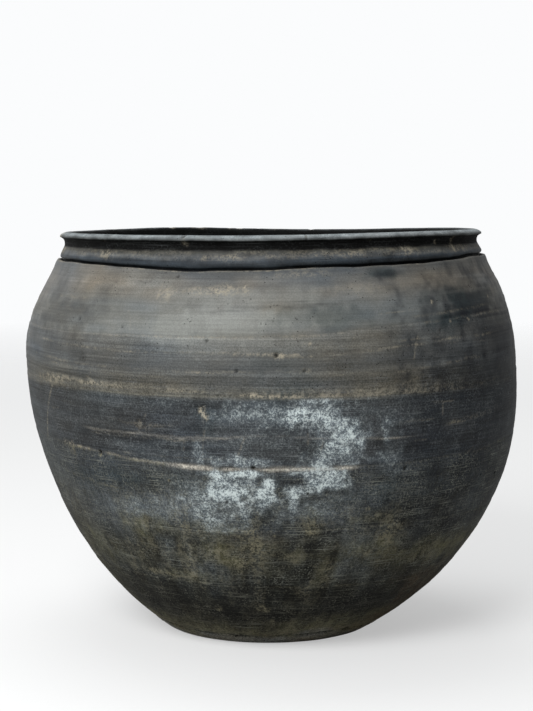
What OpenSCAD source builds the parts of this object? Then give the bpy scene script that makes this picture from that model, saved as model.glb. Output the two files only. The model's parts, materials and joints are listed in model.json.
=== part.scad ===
// Smoke-blackened clay pot: a wide shouldered jar with a low collar and a rolled lip.
// The wall was raised from a floor slab in courses of clay, luted along bevelled joints,
// so every course is its own ring and meets the next one on a cone.
// Origin: centre of the flat foot. +Z points up, out of the mouth.

/* [Body] */
// Widest outside diameter, at the belly
belly_d = 500; // [450:5:550]
// Height at which the lower wall reaches its widest
belly_z = 262; // [261:1:268]
// Height of the upright band at the belly
belly_band_h = 13; // [4:1:20]
// Radius of the long curve of the lower wall, seen in section
lower_arc_r = 310; // [290:5:330]
// Radius of the shoulder's curve, seen in section
shoulder_arc_r = 155; // [145:1:170]
// Rounding where the wall turns under into the flat foot
foot_round_r = 12; // [4:1:16]

/* [Clay] */
// Thickness of the wall, square to its surface
wall_t = 12; // [9:0.5:15]
// Thickness of the floor
floor_t = 14; // [10:1:18]
// Thickness of the coil pressed into the corner between floor and wall
seam_coil_d = 18; // [12:1:22]
// How far each joint leans from square to the wall, in degrees
joint_bevel = 20; // [0:5:25]

/* [Joints] */
// Outside height of the joint between the floor slab and the lower bowl
floor_joint_z = 11; // [8:1:16]
// Outside height of the joint on top of the lower bowl
lower_bowl_top_z = 75; // [60:1:90]
// Outside height of the joint on top of wall course 1
course_1_top_z = 135; // [120:1:150]
// Outside height of the joint on top of wall course 2
course_2_top_z = 195; // [180:1:210]
// Outside height of the joint on top of wall course 3
course_3_top_z = 259; // [245:1:260]
// Outside height of the joint on top of wall course 4
course_4_top_z = 313; // [300:1:330]

/* [Rim] */
// Height of the joint between the shoulder and the collar
collar_joint_z = 372; // [362:1:374]
// How far the collar's fullest point stands in from the edge of the shoulder
collar_inset = 2.5; // [1:0.5:4]
// Height of the collar's fullest point above its joint
collar_full_h = 5; // [3:0.5:7]
// Radius of the collar's bulge, seen in section
collar_arc_r = 14.5; // [13:0.5:17]
// Height of the collar band, from its joint to the groove under the lip
collar_h = 15; // [12:0.5:16]
// How far the lip's edge stands out past the collar
lip_overhang = 0.5; // [-1:0.5:4]
// Thickness of the lip's rolled outer edge
lip_edge_d = 7; // [5:0.5:8]
// Rounding of the lip's edge on the mouth side
mouth_round_r = 5; // [3:0.5:5]
// Height of the whole pot
pot_h = 400; // [398:1:404]

/* [Hidden] */
$fn = 180;

belly_r = belly_d / 2;
shoulder_z = belly_z + belly_band_h;

// Centres of the two long curves, as [radius, height] in the section
lower_centre = [belly_r - lower_arc_r, belly_z];
shoulder_centre = [belly_r - shoulder_arc_r, shoulder_z];

// The foot's rounding touches both the ground and the lower curve from inside
foot_run = sqrt(pow(lower_arc_r - foot_round_r, 2) - pow(belly_z - foot_round_r, 2));
foot_centre = [lower_centre[0] + foot_run, foot_round_r];
foot_round_top_z = belly_z - (belly_z - foot_round_r) * lower_arc_r / (lower_arc_r - foot_round_r);

// Outside radius of the wall at a height above the foot's rounding
function lower_radius(z) = lower_centre[0] + sqrt(pow(lower_arc_r, 2) - pow(belly_z - z, 2));
function shoulder_radius(z) = shoulder_centre[0] + sqrt(pow(shoulder_arc_r, 2) - pow(z - shoulder_z, 2));
function wall_radius(z) = z < belly_z ? lower_radius(z) : z < shoulder_z ? belly_r : shoulder_radius(z);

// How steeply the line square to the wall climbs on its way in, in degrees
function square_climb(z) =
    z < belly_z ? asin((belly_z - z) / lower_arc_r)
    : z < shoulder_z ? 0
    : -asin((z - shoulder_z) / shoulder_arc_r);

// A point on the joint that starts outside at height z, a distance in from the outside
function on_joint(z, inwards) =
    let (climb = square_climb(z) - joint_bevel)
    [wall_radius(z) - inwards * cos(climb), z + inwards * sin(climb)];

// Joint lines are drawn past both faces of the wall, so that they cut right through it
joint_reach_in = 2 * wall_t;
joint_reach_out = wall_t;

// The mouth is as wide as the inside of the shoulder where the collar starts
neck_r = shoulder_centre[0] + sqrt(pow(shoulder_arc_r - wall_t, 2) - pow(collar_joint_z - shoulder_z, 2));
collar_r = shoulder_radius(collar_joint_z) - collar_inset;
collar_centre = [collar_r - collar_arc_r, collar_joint_z + collar_full_h];
groove_z = collar_joint_z + collar_h;
groove_r = collar_centre[0] + sqrt(pow(collar_arc_r, 2) - pow(groove_z - collar_centre[1], 2));

// The lip's edge is a bead, and its underside is a cone from the groove to that bead
lip_edge_r = lip_edge_d / 2;
bead_centre = [collar_r + lip_overhang - lip_edge_r, pot_h - lip_edge_r];
mouth_round_centre = [neck_r + mouth_round_r, pot_h - mouth_round_r];
bead_run = bead_centre - [groove_r, groove_z];
flare_angle = atan2(bead_run[1], bead_run[0]) - asin(lip_edge_r / norm(bead_run));
flare_length = sqrt(pow(norm(bead_run), 2) - pow(lip_edge_r, 2));
flare_end = [groove_r + flare_length * cos(flare_angle), groove_z + flare_length * sin(flare_angle)];

// Tones of the fired clay, from the sooty foot to the burnished shoulder
sooty = "#2b2b2a";
smoky = "#3a3a3b";
blue_black = "#36383d";
burnished = "#6d6f70";
lip_grey = "#85898b";

// Section of the solid pot below the collar: foot, lower curve, upright band and shoulder
module outer_section() {
    square([foot_centre[0], foot_round_top_z]);
    intersection() {
        translate(foot_centre) circle(r = foot_round_r);
        translate([foot_centre[0], 0]) square([foot_round_r, foot_round_top_z]);
    }
    curved_section(0, foot_round_top_z);
}

// Section between a height and the collar's joint, moved in from the outside by a depth.
// The two curves run past each other behind the upright band, so the three join in one.
module curved_section(depth, from_z) {
    intersection() {
        translate(lower_centre) circle(r = lower_arc_r - depth);
        translate([0, from_z]) square([belly_r, shoulder_z - from_z]);
    }
    translate([0, belly_z]) square([belly_r - depth, belly_band_h]);
    intersection() {
        translate(shoulder_centre) circle(r = shoulder_arc_r - depth);
        translate([0, belly_z]) square([belly_r, collar_joint_z - belly_z]);
    }
}

// Section of the hollow, from the floor up to the collar's joint
module hollow_section() {
    curved_section(wall_t, floor_t);
}

// Section of the clay itself: the wall and the floor in one
module clay_section() {
    difference() {
        outer_section();
        hollow_section();
    }
}

// One ring of the wall, between the joints that start outside at two heights
module wall_ring(low_z, high_z) {
    rotate_extrude() intersection() {
        clay_section();
        polygon([
            on_joint(low_z, joint_reach_in),
            on_joint(low_z, -joint_reach_out),
            on_joint(high_z, -joint_reach_out),
            on_joint(high_z, joint_reach_in)
        ]);
    }
}

// Round slab that the pot was started on, with its edge turned up to meet the wall
module floor_slab() {
    edge_out = on_joint(floor_joint_z, -joint_reach_out);
    edge_in = on_joint(floor_joint_z, joint_reach_in);
    color(sooty) rotate_extrude() intersection() {
        clay_section();
        polygon([[0, 0], [edge_out[0], 0], edge_out, edge_in, [0, edge_in[1]]]);
    }
}

// Coil pressed into the inside corner, where it covers the joint of the floor and the wall
module floor_seam_coil() {
    corner_r = lower_centre[0] + sqrt(pow(lower_arc_r - wall_t, 2) - pow(belly_z - floor_t, 2));
    color(sooty) rotate_extrude() intersection() {
        hollow_section();
        translate([corner_r + 1, floor_t]) circle(d = seam_coil_d);
    }
}

// First ring of the wall, the flattest one, which carries the rest
module lower_bowl() {
    color(sooty) wall_ring(floor_joint_z, lower_bowl_top_z);
}

module wall_course_1() {
    color(smoky) wall_ring(lower_bowl_top_z, course_1_top_z);
}

module wall_course_2() {
    color(smoky) wall_ring(course_1_top_z, course_2_top_z);
}

module wall_course_3() {
    color(blue_black) wall_ring(course_2_top_z, course_3_top_z);
}

module wall_course_4() {
    color(blue_black) wall_ring(course_3_top_z, course_4_top_z);
}

// Last ring of the wall, which turns in over the shoulder and ends flat under the collar
module shoulder_course() {
    joint_in = on_joint(course_4_top_z, joint_reach_in);
    joint_out = on_joint(course_4_top_z, -joint_reach_out);
    color(burnished) rotate_extrude() intersection() {
        clay_section();
        polygon([
            joint_in,
            joint_out,
            [joint_out[0], collar_joint_z],
            [neck_r - wall_t, collar_joint_z],
            [neck_r - wall_t, joint_in[1]]
        ]);
    }
}

// Low upright band set on the shoulder, rounded outside and straight inside
module collar_band() {
    color(burnished) rotate_extrude() intersection() {
        translate(collar_centre) circle(r = collar_arc_r);
        translate([neck_r, collar_joint_z]) square([collar_arc_r * 2, collar_h]);
    }
}

// Last coil, flared out over the groove and rounded on both edges
module lip_roll() {
    color(lip_grey) rotate_extrude() {
        polygon([
            [neck_r, groove_z],
            [groove_r, groove_z],
            flare_end,
            bead_centre,
            [bead_centre[0], pot_h],
            [mouth_round_centre[0], pot_h],
            mouth_round_centre,
            [neck_r, mouth_round_centre[1]]
        ]);
        translate(bead_centre) circle(r = lip_edge_r);
        translate(mouth_round_centre) circle(r = mouth_round_r);
    }
}

floor_slab();
floor_seam_coil();
lower_bowl();
wall_course_1();
wall_course_2();
wall_course_3();
wall_course_4();
shoulder_course();
collar_band();
lip_roll();
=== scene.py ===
# %% [markdown]
# # A smoke-blackened clay pot, course by course
#
# The real pot is a wide jar of low-fired clay. Its maker started it on a round slab, raised
# the wall from rings of clay, rubbed the shoulder with a smooth stone, and fired it in thick
# smoke, which turned the clay black. Years of use then added earth dust, pale mineral bloom,
# scuffs and chips. This file builds each ring as its own closed surface, and paints that
# history on it with masks worked out on the same grid, together with painted sheen and shade.

# %% Load the frame that every piece is built around
import json

import bpy
import numpy as np
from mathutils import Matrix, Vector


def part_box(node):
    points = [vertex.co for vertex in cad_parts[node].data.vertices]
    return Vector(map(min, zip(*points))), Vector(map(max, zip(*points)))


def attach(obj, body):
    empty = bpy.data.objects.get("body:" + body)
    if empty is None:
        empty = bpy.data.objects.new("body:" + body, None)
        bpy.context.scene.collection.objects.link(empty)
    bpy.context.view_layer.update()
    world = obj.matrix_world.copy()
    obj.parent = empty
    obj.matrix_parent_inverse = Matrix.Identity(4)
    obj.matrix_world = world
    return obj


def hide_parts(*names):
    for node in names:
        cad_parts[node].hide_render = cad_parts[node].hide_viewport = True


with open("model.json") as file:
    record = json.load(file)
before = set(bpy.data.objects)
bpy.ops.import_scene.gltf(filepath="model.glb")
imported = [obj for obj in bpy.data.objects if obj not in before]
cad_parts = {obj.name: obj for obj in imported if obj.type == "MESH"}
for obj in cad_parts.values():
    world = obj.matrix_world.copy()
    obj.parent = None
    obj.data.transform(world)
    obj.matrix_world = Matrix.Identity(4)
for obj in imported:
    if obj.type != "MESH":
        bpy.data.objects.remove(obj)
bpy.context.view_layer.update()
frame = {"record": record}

MM = 0.001

# %% [markdown]
# ## Camera, light and floor
#
# A pot this size is photographed from a few steps away with a long lens, just above its rim,
# so that the mouth shows as a thin ellipse. The camera is placed by that distance and height,
# and its lens follows from how large the pot stands in the frame. Clay this dark is seen mostly
# by what it mirrors, so the light is a pale room all round with one large soft lamp overhead.

# %% Camera
camera_distance = 1.70
camera_height = 0.427
camera_pitch = 5.15
camera_left = 0.005
camera_data = bpy.data.cameras.new("camera")
camera_data.lens = 84.0
camera = bpy.data.objects.new("camera", camera_data)
camera.location = (-camera_left, -camera_distance, camera_height)
camera.rotation_euler = (np.radians(90 - camera_pitch), 0, 0)
bpy.context.scene.collection.objects.link(camera)
bpy.context.scene.camera = camera
bpy.context.scene.view_settings.view_transform = "Standard"


# %% Two helpers for colours and nodes
def linear(hex_colour):
    """Turns an sRGB hex colour to linear: each channel as a share of 255, with the sRGB curve undone."""
    channel = np.array([int(hex_colour[i:i + 2], 16) for i in (1, 3, 5)]) / 255
    return np.where(channel <= 0.04045, channel / 12.92, ((channel + 0.055) / 1.055) ** 2.4)


def add(tree, kind, inputs=(), out=0, **settings):
    """Adds a node with its settings and gives back one of its outputs. Inputs come in order, or by
    key. One given as a socket is linked, and any other is set."""
    node = tree.nodes.new("ShaderNode" + kind)
    for name, value in settings.items():
        setattr(node, name, value)
    for key, value in inputs.items() if isinstance(inputs, dict) else enumerate(inputs):
        if isinstance(value, bpy.types.NodeSocket):
            tree.links.new(value, node.inputs[key])
        else:
            node.inputs[key].default_value = value
    return node.outputs[out] if len(node.outputs) else None


# %% Room light
# The room is brightest behind the pot and dimmest behind the viewer's right shoulder, which is
# what gives the edges a pale rim and leaves the front dark. The backdrop itself shows as pale.
# Each row is an axis, where the change starts and ends along it, and the light at both ends.
ROOM_CHANGES = [["Y", -0.9, 0.6, 0.34, 1.0], ["X", -0.6, 0.7, 1.0, 0.42]]
world = bpy.data.worlds.new("pale_room")
world.use_nodes = True
tree = world.node_tree
tree.nodes.clear()
look = add(tree, "SeparateXYZ", [add(tree, "TexCoord", out="Generated")]).node.outputs
shares = [add(tree, "MapRange", [look[axis], *change]) for axis, *change in ROOM_CHANGES]
room = add(tree, "Math", shares, operation="MULTIPLY")
seen = add(tree, "LightPath", out="Is Camera Ray")
strength = add(tree, "Mix", {0: seen, 2: room, 3: 1.0}, data_type="FLOAT")
add(tree, "OutputWorld", [add(tree, "Background", [(*linear("#fbfcfd"), 1), strength])])
bpy.context.scene.world = world


def soft_lamp(name, place, aim, side, watts):
    """Adds a square area lamp at a place, turned so that it faces the aim point."""
    data = bpy.data.lights.new(name, "AREA")
    data.shape = "SQUARE"
    data.size = side
    data.energy = watts
    lamp = bpy.data.objects.new(name, data)
    lamp.location = place
    back = lamp.location - type(lamp.location)(aim)
    lamp.rotation_euler = back.to_track_quat("Z", "Y").to_euler()
    bpy.context.scene.collection.objects.link(lamp)


soft_lamp("window", (-0.78, -1.9, 1.65), (0, 0, 0.3), 1.1, 62)
soft_lamp("overhead_lamp", (-0.3, 0.8, 2.6), (0, 0, 0.3), 1.8, 26)

# %% [markdown]
# The floor is a plain disc that fades out towards its edge, so that it runs into the pale room
# with no horizon line behind the pot.

# %% Floor
floor_radius = 6.0
floor_gap = 0.0004
floor_sides = 96
fade_starts, fade_ends = 1.2, 4.5
floor_turns = np.linspace(0, 2 * np.pi, floor_sides, endpoint=False)
floor_points = np.column_stack([np.cos(floor_turns), np.sin(floor_turns), np.zeros(floor_sides)])
floor_mesh = bpy.data.meshes.new("floor")
floor_points = floor_points * floor_radius - [0, 0, floor_gap]
floor_mesh.from_pydata(floor_points.tolist(), [], [list(range(floor_sides))])
floor = bpy.data.objects.new("floor", floor_mesh)
bpy.context.scene.collection.objects.link(floor)

floor_paint = bpy.data.materials.new("pale_studio_floor")
floor_paint.use_nodes = True
tree = floor_paint.node_tree
tree.nodes.clear()
reach = add(tree, "VectorMath", [add(tree, "TexCoord", out="Object")], out="Value", operation="LENGTH")
fade = add(tree, "MapRange", [reach, fade_starts, fade_ends])
matt = add(tree, "BsdfDiffuse", [(*linear("#e9eaea"), 1)])
glow = add(tree, "Emission", [(*linear("#ffffff"), 1), 0.9])
paper = add(tree, "MixShader", [0.5, matt, glow])
# The pot is lit as if it stood on a greyer floor, or its dark foot would turn pale.
grey = add(tree, "BsdfDiffuse", [(*linear("#b4b4b1"), 1)])
paper = add(tree, "MixShader", [add(tree, "LightPath", out="Is Camera Ray"), grey, paper])
blend = add(tree, "MixShader", [fade, paper, add(tree, "BsdfTransparent")])
add(tree, "OutputMaterial", [blend])
floor_mesh.materials.append(floor_paint)

# %% [markdown]
# ## The section of the pot
#
# A coil-built pot is nearly a turned shape, so its form is one line in the section, carried
# round the axis. Two long arcs make the wall, as on the CAD rings, and the boxes of those rings
# give the sizes. The rim is a curve through a few points, because fingers shaped it: it goes in
# under the collar, out over the bulge, into the groove and out again to the bevelled lip.


# %% Sizes read from the frame
def sizes(node):
    """Outside radius, lowest height and highest height of a CAD node, in millimetres."""
    low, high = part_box(node)
    return round(high.x / MM, 1), round(low.z / MM, 1), round(high.z / MM, 1)


RINGS = ["floor_slab", "lower_bowl", "wall_course_1", "wall_course_2", "wall_course_3",
         "wall_course_4", "shoulder_course", "collar_band", "lip_roll"]
belly_r = sizes("wall_course_4")[0]
pot_height = sizes("lip_roll")[2]
belly_z = 262
shoulder_z = 275
lower_arc = 310
shoulder_arc = 155
foot_round = 12
wall_thick = 12
floor_thick = 14

# A joint is bevelled. Low on the pot it climbs on its way in, and higher up it falls.
climb_ends_z = 156
joint_outside = []
joint_inside = []
for below, above in zip(RINGS[:-1], RINGS[1:]):
    ends = [sizes(above)[1], sizes(below)[2]]
    if ends[0] > climb_ends_z:
        ends.reverse()
    joint_outside.append(ends[0])
    joint_inside.append(ends[1])
print("joint heights outside, mm:", joint_outside)
print("joint heights inside, mm:", joint_inside)


# %% Lines in the section
def arc(centre, radius, start, end):
    """Points [radius, height] along an arc about a centre, half a millimetre apart, angles in radians."""
    angle = np.linspace(start, end, max(3, int(abs(end - start) * radius / 0.5)))
    return np.column_stack([centre[0] + radius * np.cos(angle), centre[1] + radius * np.sin(angle)])


def bend(points, steps=12):
    """A smooth line through points: each stretch is a cubic whose end slopes are half the step
    between the neighbours on either side."""
    points = np.array(points, float)
    padded = np.vstack([2 * points[0] - points[1], points, 2 * points[-1] - points[-2]])
    before, start, end, after = padded[:-3], padded[1:-2], padded[2:-1], padded[3:]
    t = np.linspace(0, 1, steps, endpoint=False)[None, :, None]
    slope_in = (end - before)[:, None] / 2
    slope_out = (after - start)[:, None] / 2
    start, end = start[:, None], end[:, None]
    line = ((2 * t**3 - 3 * t**2 + 1) * start + (t**3 - 2 * t**2 + t) * slope_in
            + (3 * t**2 - 2 * t**3) * end + (t**3 - t**2) * slope_out)
    return np.vstack([line.reshape(-1, 2), points[-1:]])


class Line:
    """A line in the section, walked by its own length in millimetres."""

    def __init__(self, points):
        step = np.hypot(*np.diff(points, axis=0).T)
        self.points = points[np.append(True, step > 1e-6)]
        self.walked = np.append(0, np.cumsum(np.hypot(*np.diff(self.points, axis=0).T)))
        self.end = self.walked[-1]

    def at(self, path):
        """Radius and height after walking a path length."""
        return (np.interp(path, self.walked, self.points[:, 0]),
                np.interp(path, self.walked, self.points[:, 1]))

    def square(self, path):
        """Direction square to the line, to the right of the walk, from the points 1 mm either side."""
        ahead, behind = self.at(path + 1), self.at(path - 1)
        along, up = ahead[0] - behind[0], ahead[1] - behind[1]
        size = np.maximum(np.hypot(along, up), 1e-9)
        return up / size, -along / size

    def reach(self, radius, height):
        """Path length to the point of the line nearest to a radius and height."""
        gap = np.hypot(self.points[:, 0] - radius, self.points[:, 1] - height)
        return self.walked[gap.argmin()]


# %% Outside and inside lines
lower_centre = (belly_r - lower_arc, belly_z)
shoulder_centre = (belly_r - shoulder_arc, shoulder_z)
seam_z = joint_outside[6]
foot_run = np.sqrt((lower_arc - foot_round) ** 2 - (belly_z - foot_round) ** 2)
foot_centre = (lower_centre[0] + foot_run, foot_round)
foot_turn = -np.arctan2(belly_z - foot_round, foot_run)
shoulder_turn = np.arcsin((seam_z - shoulder_z) / shoulder_arc)
inner_turn = np.arcsin((seam_z - shoulder_z) / (shoulder_arc - wall_thick))
neck_r = shoulder_centre[0] + (shoulder_arc - wall_thick) * np.cos(inner_turn)
shoulder_edge_r = shoulder_centre[0] + shoulder_arc * np.cos(shoulder_turn)
lip_r = sizes("lip_roll")[0]

# Each rim point is [how far in from the lip's edge, how far below the crest].
RIM = [[1.3, 28.4], [1.6, 27.6], [0.5, 25.8], [0.2, 23.4], [0.9, 20.4], [2.3, 17.0], [3.9, 14.2],
       [4.9, 11.6], [4.7, 8.8], [3.6, 6.6], [1.6, 5.0], [0.2, 4.3], [0.3, 3.2], [2.3, 1.5],
       [5.6, 0.2], [8.2, 0.0], [10.8, 1.0], [12.5, 3.4], [13.5, 6.8], [13.8, 10.0]]
rim_points = [[lip_r - inwards, pot_height - down] for inwards, down in RIM]
inner_arc = lower_arc - wall_thick
corner_drop = belly_z - floor_thick
floor_corner = lower_centre[0] + np.sqrt(inner_arc**2 - corner_drop**2)

outside = Line(np.vstack([
    [[0.0, 0.0], [foot_centre[0], 0.0]],
    arc(foot_centre, foot_round, -np.pi / 2, foot_turn),
    arc(lower_centre, lower_arc, foot_turn, 0),
    arc(shoulder_centre, shoulder_arc, 0, shoulder_turn - 0.008),
    bend([[shoulder_edge_r - 0.2, seam_z - 1.0], [shoulder_edge_r - 1.2, seam_z - 0.5], rim_points[0]]),
    bend(rim_points),
    [[neck_r, joint_inside[7]]],
]))
inside = Line(np.vstack([
    [[0.0, floor_thick], [floor_corner, floor_thick]],
    arc(lower_centre, inner_arc, -np.arcsin(corner_drop / inner_arc), 0),
    arc(shoulder_centre, shoulder_arc - wall_thick, 0, inner_turn),
    [[neck_r, joint_inside[7]]],
]))
print("outside line", round(outside.end), "mm, inside line", round(inside.end), "mm")

# %% [markdown]
# ## Noise that closes round the pot
#
# Every hand-made unevenness, ring mark and stain needs a random field with no seam at the back.
# A lattice of random values is wrapped round the pot, a given distance apart round the belly and
# up the wall, and the values between are blended with an eased step. Stretched lattices give
# wiping rings and dust runs, and octaves of smaller lattices give ragged edges.

# %% Random fields
girth = 2 * np.pi * belly_r


def mottle(turn, path, around, along, seed, octaves=1):
    """Random hills from about -1 to 1 at turns in degrees and path lengths in millimetres.
    Lattice values are blended by the ease 6t^5 - 15t^4 + 10t^3 both ways, and each further
    octave has half the spacing and half the strength."""
    total = np.zeros(np.broadcast(turn, path).shape)
    for octave in range(octaves):
        random = np.random.default_rng(1000 * seed + octave)
        columns = max(3, round(girth / around * 2**octave))
        rows = int(700 / along * 2**octave) + 3
        lattice = random.uniform(-1, 1, (rows, columns))
        u = (turn / 360 % 1) * columns
        v = (path + 20) / along * 2**octave
        i, j = np.floor(u).astype(int), np.clip(np.floor(v).astype(int), 0, rows - 2)
        s, t = u - i, np.clip(v - j, 0, 1)
        s, t = s * s * s * (s * (6 * s - 15) + 10), t * t * t * (t * (6 * t - 15) + 10)
        i, nxt = i % columns, (i + 1) % columns
        low = lattice[j, i] * (1 - s) + lattice[j, nxt] * s
        high = lattice[j + 1, i] * (1 - s) + lattice[j + 1, nxt] * s
        total += (low * (1 - t) + high * t) / 2**octave
    return total


def ramp(value, start, end):
    """0 before start, 1 after end, and an eased step between."""
    t = np.clip((value - start) / (end - start), 0, 1)
    return t * t * (3 - 2 * t)


def bell(value, wide):
    """1 at zero, falling to 1/e at the half width on either side."""
    return np.exp(-(value / wide) ** 2)


def away(turn, at):
    """Degrees from a turn, the short way round."""
    return (turn - at + 180) % 360 - 180


def wander(turn, stops):
    """A smooth closed line round the pot through [turn, value] stops, by the same cubic as bend()."""
    turns = np.array([stop[0] for stop in stops], float)
    values = np.array([stop[1] for stop in stops], float)
    turns = np.concatenate([turns[-2:] - 360, turns, turns[:2] + 360])
    values = np.concatenate([values[-2:], values, values[:2]])
    turn = away(turn, 0)
    k = np.clip(np.searchsorted(turns, turn, side="right") - 1, 1, len(turns) - 3)
    width = turns[k + 1] - turns[k]
    t = (turn - turns[k]) / width
    slope = (values[k + 1] - values[k - 1]) / (turns[k + 1] - turns[k - 1]) * width
    slope_out = (values[k + 2] - values[k]) / (turns[k + 2] - turns[k]) * width
    return ((2 * t**3 - 3 * t**2 + 1) * values[k] + (t**3 - 2 * t**2 + t) * slope
            + (3 * t**2 - 2 * t**3) * values[k + 1] + (t**3 - t**2) * slope_out)


# %% [markdown]
# ## Where the joints wander
#
# A ring of clay is pressed down by hand, so its edge is never level. Each joint line follows
# stops round the pot, given as a turn in degrees and a height. Turn 0 faces the viewer, and
# turns grow to the viewer's right. The joint over the floor slab is ragged, because the first
# ring was dragged down over the slab and left as it tore.

# %% Joint lines round the pot
JOINT_STOPS = {
    1: [[-180, 76], [-100, 73], [-30, 77], [40, 74], [110, 77]],
    2: [[-180, 134], [-110, 138], [-40, 133], [30, 136], [100, 133]],
    3: [[-180, 197], [-120, 201], [-80, 206], [-50, 203.5], [-38, 200], [-22, 195.5], [-5, 194.5],
        [12, 194.5], [40, 197], [80, 204], [130, 199]],
    4: [[-180, 260], [-120, 262], [-70, 263], [-45, 258.5], [-10, 257], [20, 257.5], [45, 260],
        [80, 267], [130, 262]],
    5: [[-180, 312], [-130, 310], [-90, 315], [-50, 312], [-15, 313], [8, 313], [20, 317], [35, 321],
        [55, 325], [90, 324], [140, 316]],
}


def joint_path(k, turn):
    """Path length of joint k at each turn. The floor joint is torn, and the collar's runs level."""
    if k >= 6:
        spot = rim_points[0] if k == 6 else (lip_r - RIM[7][0], joint_outside[7])
        return np.full(np.shape(turn), outside.reach(*spot))
    if k == 0:
        level = outside.reach(lower_centre[0] + lower_arc * np.cos(foot_turn) + 15, joint_outside[0])
        torn = 2.4 * mottle(turn, 0, 60, 50, 41, 2) + 1.7 * mottle(turn, 0, 8, 50, 42, 3)
        dragged = 3.5 * ramp(np.abs(away(turn, 30)), 32, 8) - 1.5 * ramp(np.abs(away(turn, -13)), 6, 2)
        return level + torn + dragged
    height = wander(turn, JOINT_STOPS[k]) + 0.7 * mottle(turn, 0, 45, 50, 50 + k, 2)
    wall = (outside.points[:, 0] > foot_centre[0] + 8) & (outside.walked < outside.reach(*rim_points[0]))
    return np.interp(height, outside.points[wall, 1], outside.walked[wall])


print("floor joint, mm up the wall:", np.round(joint_path(0, np.array([-30.0, 0.0, 30.0])), 1))

# %% [markdown]
# ## Wander of the whole pot
#
# The wet pot also sagged as it grew: its axis sways by a few millimetres, it is a little out of
# round, and the rim sits a touch higher on one side. One function moves every point, outside and
# inside alike, so that the rings still meet.

# %% Stand a section point in the pot
SWAY = [[0, -3.5], [40, 1.0], [115, 5.0], [180, 4.0], [250, 0.5], [310, -1.8], [350, -0.5], [400, -1.0]]
sway_line = bend(SWAY)
out_of_round = 0.0035
rim_tilt = 0.011
COLLAR_WAVE = [[-180, 2.5], [-130, 4.0], [-88, 4.6], [-51, 2.4], [-36, 0.4], [-21, -2.1], [-7, -1.9],
               [10, -0.6], [27, 0.5], [43, 1.6], [64, 4.9], [88, 5.0], [140, 4.0]]
LIP_LIFT = [[-173, 1.7], [-159, 3.6], [-144, 4.4], [-129, 3.6], [-112, 3.2], [-90, 3.0], [-68, 2.8],
            [-51, 2.2], [-36, 1.7], [-21, 1.3], [-7, 0.8], [10, 1.0], [27, 1.7], [43, 2.1], [64, 1.9],
            [90, 1.8], [116, 1.9], [136, 0.9], [153, 0.2], [170, 0.5]]


def stand(radius, height, turn):
    """Carries section points round the axis, then adds the sway, the oval, the rim's tilt, the waviness
    of the collar's seam and the lift of the lip. Returns [x, y, z] in millimetres."""
    grown = 1 + out_of_round * np.cos(2 * np.radians(turn - 35)) * ramp(height, 30, 200)
    x = radius * grown * np.sin(np.radians(turn)) + np.interp(height, sway_line[:, 0], sway_line[:, 1])
    y = -radius * grown * np.cos(np.radians(turn)) + 1.5 * np.sin(height / 70)
    wave = wander(turn, COLLAR_WAVE) + 0.5 * mottle(turn, 0, 30, 50, 61, 2)
    z = height + rim_tilt * x * ramp(height, 230, 370) + wave * bell(height - seam_z, 9.0)
    z = z + wander(turn, LIP_LIFT) * ramp(height, 378, 391)
    return np.stack([x, y, z], axis=-1)


# %% [markdown]
# ## Marks, one list for each kind
#
# The marks that give this pot its face are listed one by one, each as a turn in degrees, a height
# in millimetres, and a size: pinholes where grit burned out, scratches, chips, earth dust and
# the pale bloom of minerals. The far side gets its own marks from seeded random draws.

# %% Listed and random marks
# Pinholes and small holes: turn, height, radius in mm, depth in mm.
PITS = [
    [-42, 200, 2.6, 2.2], [-4.8, 194.5, 2.5, 2.2], [1.2, 296.5, 2.2, 2.2], [-13.2, 309, 1.7, 1.4],
    [-7, 282.5, 1.7, 1.6], [6.8, 282.5, 1.6, 1.4], [-44, 288.5, 1.9, 1.2], [-33.5, 319, 1.4, 1.2],
    [6.8, 170, 1.8, 1.4], [28.8, 190.5, 2, 1.6], [-11.2, 161.5, 1.4, 1.2], [39, 313, 1.4, 1.2],
    [-47, 324, 1.6, 1.2], [-24, 179.5, 1.2, 0.8], [64, 168.5, 2.4, 1.4], [9.5, 82.5, 1.5, 1.2],
    [55, 172, 1.6, 1.2], [-22.5, 366, 1.8, 1.3], [-15.5, 9.5, 2.2, 2.4], [-12.8, 10.5, 2.6, 2.6],
    [-10.8, 12, 1.5, 1.8]]
# Rings round a burst blister: turn, height, ring radius in mm.
BLISTERS = [
    [-0.8, 151, 3.4], [25, 163, 2.8], [-44, 288.5, 3.6], [-29, 231, 4.5]]
# Pale grit that sits in the surface: turn, height, radius in mm.
GRITS = [
    [20.8, 154, 2.2], [25.5, 127.5, 1.6], [-0.8, 129, 1.5], [-24, 179.5, 1.5], [38, 338, 1.7], [49, 321, 2],
    [42.5, 320.5, 1.4], [61, 338.5, 1.8], [-6, 355.5, 1.3], [-3.7, 49, 4], [-18.5, 46.5, 3.2], [0, 28, 3],
    [8, 306.5, 2], [-42, 198, 2.4], [9.5, 79.5, 1.4]]
far_turns = (75, 285)
random = np.random.default_rng(7)
for _ in range(110):
    spot = [random.uniform(*far_turns), random.uniform(25, 365)]
    PITS.append([*spot, random.uniform(0.9, 2.1), random.uniform(0.6, 1.8)])
for _ in range(60):
    GRITS.append([random.uniform(*far_turns), random.uniform(25, 365), random.uniform(0.9, 2.0)])
print(len(PITS), "pits,", len(GRITS), "grits")
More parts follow.
